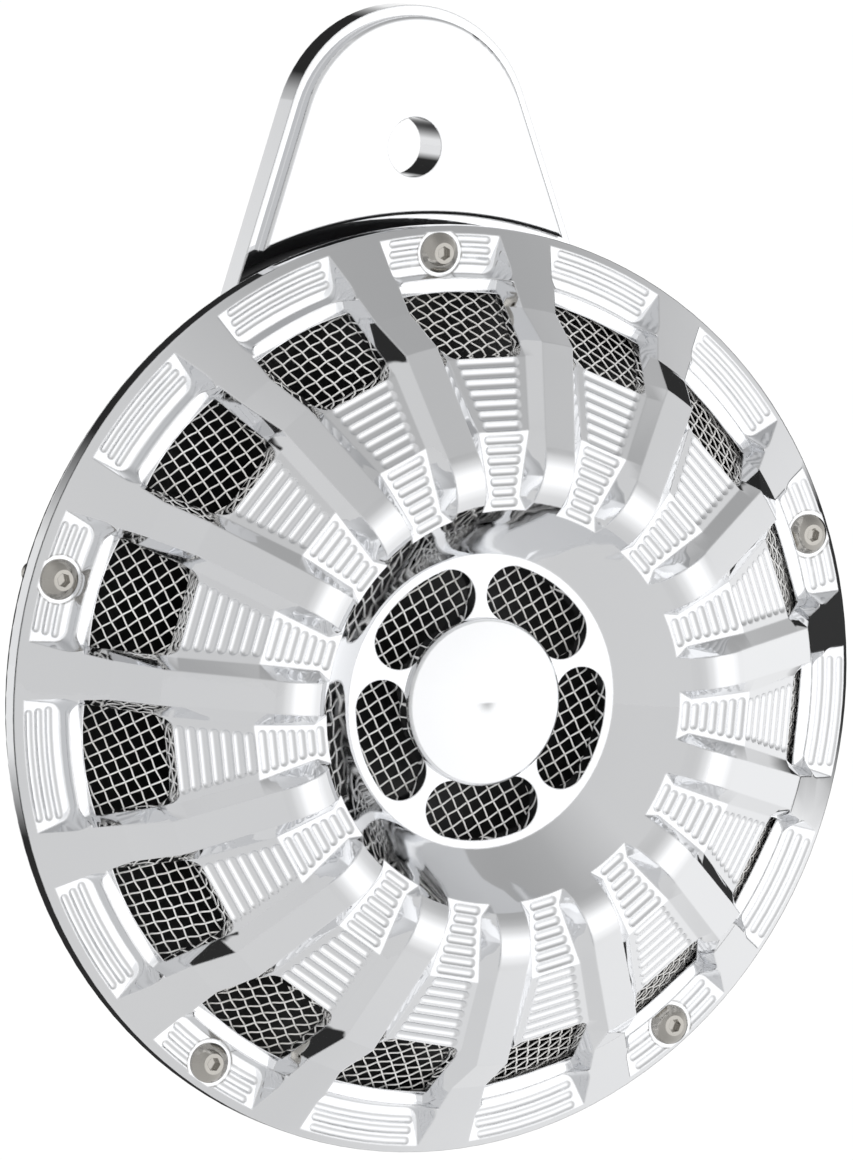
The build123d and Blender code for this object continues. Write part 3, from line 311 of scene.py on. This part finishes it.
finishes = {
    "chrome": brightPlate("brightChrome", coverPlate),
    "polished_cap": brightPlate("capChrome", capPlate),
    "wire_cloth": drawnWire("meshWire", meshWire),
    "stainless": hardwareMetal("screwStainless", (0.56, 0.54, 0.5), (0.4, 0.385, 0.36), 0.16),
    "black_paint": satinPaint("satinBlack", blackPaint),
    "zinc": hardwareMetal("brightZinc", (0.64, 0.65, 0.66), (0.48, 0.49, 0.5), 0.3),
    "gasket_paper": fleckedSolid("oiledPaper", (0.2, 0.17, 0.13), (0.11, 0.09, 0.07), 0.6, 500.0),
    "spring_steel": hardwareMetal("springSteel", (0.42, 0.43, 0.46), (0.28, 0.29, 0.33), 0.28),
    "soft_iron": turnedIron("turnedIron", ironFaces),
    "moulded_nylon": fleckedSolid("mouldedNylon", (0.55, 0.5, 0.4), (0.5, 0.44, 0.33), 0.4, 260.0),
    "copper_wire": woundCopper("woundCopper", windings),
    "insulator_board": fleckedSolid("fibreBoard", (0.17, 0.075, 0.032), (0.1, 0.04, 0.02), 0.42, 700.0),
    "spring_brass": hardwareMetal("springBrass", (0.74, 0.56, 0.26), (0.56, 0.4, 0.17), 0.26),
    "contact_metal": hardwareMetal("contactMetal", (0.5, 0.5, 0.5), (0.36, 0.36, 0.36), 0.35),
}
# the cover's copy also paints its inside faces near black as painted shade
coverChrome = brightPlate("coverChrome", coverPlate, paintInsideShade=True)
print("finishes made:", len(finishes) + 1)

nodeFinishes = {
    "chrome": ["bracket"],
    "polished_cap": ["centre_cap"],
    "stainless": ["cover_screws"],
    "black_paint": ["backing_plate", "horn_housing", "tone_disc"],
    "zinc": ["cap_washer", "cap_nut", "clamp_ring", "clamp_rivets", "horn_bolts", "horn_spacers",
             "front_washers", "back_washers", "horn_nuts", "core_locknut", "armature_washer",
             "armature_nut", "breaker_rivet", "adjusting_screw", "terminal_rivets"],
    "gasket_paper": ["diaphragm_gasket"],
    "spring_steel": ["diaphragm"],
    "soft_iron": ["pole_core", "armature", "tone_disc_collar"],
    "moulded_nylon": ["coil_bobbin"],
    "copper_wire": ["coil"],
    "insulator_board": ["breaker_base", "breaker_insulator", "arm_pip", "terminal_plate"],
    "spring_brass": ["fixed_contact_arm", "contact_arm_root", "moving_contact_arm", "terminal_blades"],
    "contact_metal": ["moving_point", "fixed_point"],
    "wire_cloth": ["screen"],   # hidden behind the woven wires, which stand for it
}
for slotName, names in nodeFinishes.items():
    for name in names:
        nodes[name].data.materials.clear()
        nodes[name].data.materials.append(finishes[slotName])
nodes["cover"].data.materials.clear()
nodes["cover"].data.materials.append(coverChrome)
print("finishes on the frame's nodes")

# Woven wire cloth, laid over the formed sheet behind the windows
wireCloth = {
    "pitch": 0.0021,
    "wireRadius": 0.000165,
    "sides": 5,
    "stepsPerPitch": 4,
    "turn": 27.0,             # degrees, wires rising to the right
    "halfThickness": 0.0004,  # of the sheet that it follows
    "flatRadius": 0.0561,     # out to here a step out is a step along the cloth
    "steepest": 2.2,          # limit of the slope that the cloth's middle is taken from
    "profileStep": 0.0002,
    "holeRadius": 0.006,      # the cap's stud passes here
    "rayStart": 0.2,
    "spareRows": 3,
}


def clothProfile(settings):
    # (distance along the cloth, radius, height of its middle), read off the formed sheet
    sheetMesh = nodes["screen"].data
    tree = BVHTree.FromPolygons([v.co.copy() for v in sheetMesh.vertices],
                                [tuple(p.vertices) for p in sheetMesh.polygons])
    rows = []
    radius = settings["holeRadius"]
    while True:
        hit = tree.ray_cast(discCentre + Vector((radius, -settings["rayStart"], 0)), Vector((0, 1, 0)))[0]
        if hit is None:
            break
        rows.append((radius, -hit.y))
        radius += settings["profileStep"]
    middle = []
    for index, (radius, height) in enumerate(rows):
        before, after = rows[max(index - 1, 0)], rows[min(index + 1, len(rows) - 1)]
        slope = (after[1] - before[1]) / (after[0] - before[0])
        slope = max(min(slope, settings["steepest"]), -settings["steepest"])
        middle.append((radius, height - settings["halfThickness"] * (1 + slope * slope) ** 0.5))
    along = middle[0][0]
    path = [(along, *middle[0])]
    for (r0, h0), (r1, h1) in zip(middle, middle[1:]):
        along += ((r1 - r0) ** 2 + (h1 - h0) ** 2) ** 0.5 if r0 > settings["flatRadius"] else r1 - r0
        path.append((along, r1, h1))
    return path


def layOnProfile(path, flatRadius):
    # radius, height and slope of the cloth at this distance along it
    low, high = 0, len(path) - 1
    if flatRadius <= path[0][0]:
        return flatRadius, path[0][2], 0.0
    while high - low > 1:
        half = (low + high) // 2
        if path[half][0] > flatRadius:
            high = half
        else:
            low = half
    a, b = path[low], path[high]
    share = min((flatRadius - a[0]) / (b[0] - a[0]), 1.0)
    slope = (b[2] - a[2]) / (b[1] - a[1])
    return a[1] + (b[1] - a[1]) * share, a[2] + (b[2] - a[2]) * share, slope


def weaveWires(name, settings, path, crosswise):
    pitch = settings["pitch"]
    step = pitch / settings["stepsPerPitch"]
    reach = path[-1][0]
    periods = int(reach / pitch) + 1
    start = -pitch * (2 * (periods // 2) + 2)
    count = periods + settings["spareRows"]
    bpy.ops.object.select_all(action="DESELECT")
    bpy.ops.mesh.primitive_circle_add(vertices=settings["sides"], radius=settings["wireRadius"],
                                      location=(0, 0, 0), rotation=(0, pi / 2, 0))
    wire = bpy.context.object
    wire.name = name
    bpy.ops.object.transform_apply(location=True, rotation=True, scale=True)
    bpy.ops.object.mode_set(mode="EDIT")
    bpy.ops.mesh.select_all(action="SELECT")
    bpy.ops.transform.translate(value=(0, 0, settings["wireRadius"]))
    for stepAt in range(2 * settings["stepsPerPitch"]):
        rise = [settings["wireRadius"] * cos(pi * k / settings["stepsPerPitch"])
                for k in (stepAt, stepAt + 1)]
        bpy.ops.mesh.extrude_region_move(TRANSFORM_OT_translate={"value": (step, 0, rise[1] - rise[0])})
    bpy.ops.mesh.select_all(action="SELECT")
    bpy.ops.mesh.duplicate_move(TRANSFORM_OT_translate={"value": (pitch, pitch, 0)})
    bpy.ops.mesh.select_all(action="SELECT")
    bpy.ops.transform.translate(value=(start, start, 0))
    bpy.ops.object.mode_set(mode="OBJECT")
    for label, offset in (("length", (2 * pitch, 0, 0)), ("rows", (0, 2 * pitch, 0))):
        array = wire.modifiers.new(label, "ARRAY")
        array.count = count
        array.use_relative_offset = False
        array.use_constant_offset = True
        array.constant_offset_displace = offset
        array.use_merge_vertices = label == "length"
        array.merge_threshold = pitch / 1000
        bpy.ops.object.modifier_apply(modifier=label)
    bpy.ops.object.mode_set(mode="EDIT")
    bpy.ops.mesh.select_mode(type="VERT")
    bpy.ops.mesh.select_all(action="DESELECT")
    bpy.ops.object.mode_set(mode="OBJECT")
    for vertex in wire.data.vertices:
        row = round(vertex.co.y / pitch) * pitch
        apart = (vertex.co.x ** 2 + row ** 2) ** 0.5
        vertex.select = apart > reach or apart < path[0][0]
    bpy.ops.object.mode_set(mode="EDIT")
    bpy.ops.mesh.delete(type="VERT")
    bpy.ops.mesh.select_all(action="SELECT")
    bpy.ops.mesh.fill_holes(sides=settings["sides"] + 1)
    bpy.ops.mesh.select_all(action="SELECT")
    if crosswise:
        bpy.ops.transform.translate(value=(pitch, 0, 0))
    bpy.ops.object.mode_set(mode="OBJECT")
    turn = Matrix.Rotation(radians(settings["turn"] + (90 if crosswise else 0)), 4, "Z")
    wire.data.transform(turn)
    for vertex in wire.data.vertices:
        x, y, lift = vertex.co
        flatRadius = max((x * x + y * y) ** 0.5, 1e-9)
        radius, height, slope = layOnProfile(path, flatRadius)
        lean = (1 + slope * slope) ** 0.5
        radius -= lift * slope / lean
        height += lift / lean
        vertex.co = discCentre + Vector((x / flatRadius * radius, -height, y / flatRadius * radius))
    bpy.ops.object.mode_set(mode="EDIT")
    bpy.ops.mesh.select_all(action="SELECT")
    bpy.ops.mesh.normals_make_consistent(inside=False)
    bpy.ops.object.mode_set(mode="OBJECT")
    bpy.ops.object.shade_smooth()
    wire.data.materials.append(finishes["wire_cloth"])
    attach(wire, "frame")
    print(name, "triangles:", sum(len(p.vertices) - 2 for p in wire.data.polygons))
    return wire


path = clothProfile(wireCloth)
warp = weaveWires("screenWarp", wireCloth, path, False)
weft = weaveWires("screenWeft", wireCloth, path, True)
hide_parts("screen")
print("wire cloth woven")

# Studio: pale floor well below the part, soft light all round, darker behind
studio = {
    "floorHeight": -0.55, "floorHalf": 14.0, "floorColour": (1.0, 1.0, 1.0), "floorRoughness": 0.9,
    "facing": (0.45, -0.89, -0.12),   # where the flat faces look to from the camera
    "facingLight": [(0.0, 0.62), (0.5, 0.6), (0.7, 0.64), (0.88, 0.8), (0.97, 0.98), (1.0, 1.0)],
    "strength": 1.09,
    "rightGain": 0.25,
    "topLoss": 0.42,
    "behind": [(0.57, 1.0), (0.61, 0.04), (0.84, 0.04), (0.89, 1.25)],   # along y, from the front to the back
    "behindLift": 0.6,
    "surround": 1.03,
}


def studioGlow(finish, direction):
    # how bright the room is this way, as bright metal mirrors it
    apart = finish.node("ShaderNodeSeparateXYZ", {}, [direction])
    right, back, rise = apart.out("X"), apart.out("Y"), apart.out("Z")
    facing = finish.node("ShaderNodeVectorMath", {"operation": "DOT_PRODUCT"}, [direction, studio["facing"]])
    glow = finish.ramp(facing.out("Value"), studio["facingLight"])
    glow = glow + right.math("MAXIMUM", 0.0) * studio["rightGain"]
    glow = glow - studio["topLoss"] * rise.math("MAXIMUM", 0.0) * (right + 0.5).math("MAXIMUM", 0.0)
    lean = (back - studio["behindLift"] * rise.math("ABSOLUTE")) * 0.5 + 0.5
    return glow * finish.ramp(lean, studio["behind"]) * studio["strength"]


bpy.ops.object.select_all(action="DESELECT")
bpy.ops.mesh.primitive_plane_add(size=2 * studio["floorHalf"], location=(0, 0, studio["floorHeight"]))
floor = bpy.context.object
floor.name = "floor"
paleFloor = Finish("paleFloor")
fromDisc = paleFloor.place(move=(0, 0, studio["floorHeight"] - discCentre.z))
floorWay = paleFloor.node("ShaderNodeVectorMath", {"operation": "NORMALIZE"}, [fromDisc]).out("Vector")
floorMirrored = paleFloor.node("ShaderNodeLightPath").out("Is Glossy Ray")
# painted light: seen in reflections the floor's colour is the studio glow, the room's brightness by direction
# from the disc; seen directly it stays plain white
floorColour = paleFloor.blend(floorMirrored, studio["floorColour"], studioGlow(paleFloor, floorWay))
floor.data.materials.append(paleFloor.surface(Base_Color=floorColour, Roughness=studio["floorRoughness"],
                                               Specular_IOR_Level=0.0))

world = bpy.data.worlds.new("studioLight")
bpy.context.scene.world = world
world.use_nodes = True
sky = Finish("studioLight", world.node_tree)
skyWay = sky.node("ShaderNodeTexCoord").out("Generated")
mirrored = sky.node("ShaderNodeLightPath").out("Is Glossy Ray")
level = mirrored * studioGlow(sky, skyWay) + (1 - mirrored) * studio["surround"]
light = sky.node("ShaderNodeBackground", {}, {"Color": (1, 1, 1, 1), "Strength": level})
sky.node("ShaderNodeOutputWorld", {}, {"Surface": light})

view = {
    "right": (0.8936, -0.4489, -0.0034),
    "up": (0.0551, 0.1022, 0.9932),
    "back": (-0.4455, -0.8877, 0.1161),
    "place": (-0.7687, -1.5432, 0.1296),
    "lens": 327.4,
    "sensor": 36,
}
bpy.ops.object.camera_add(location=view["place"])
camera = bpy.context.object
camera.name = "camera"
camera.matrix_world = Matrix.Translation(view["place"]) @ Matrix(
    (view["right"], view["up"], view["back"])).transposed().to_4x4()
camera.data.lens = view["lens"]
camera.data.sensor_width = view["sensor"]
bpy.context.scene.camera = camera
bpy.context.scene.view_settings.view_transform = "Standard"
print("studio set")
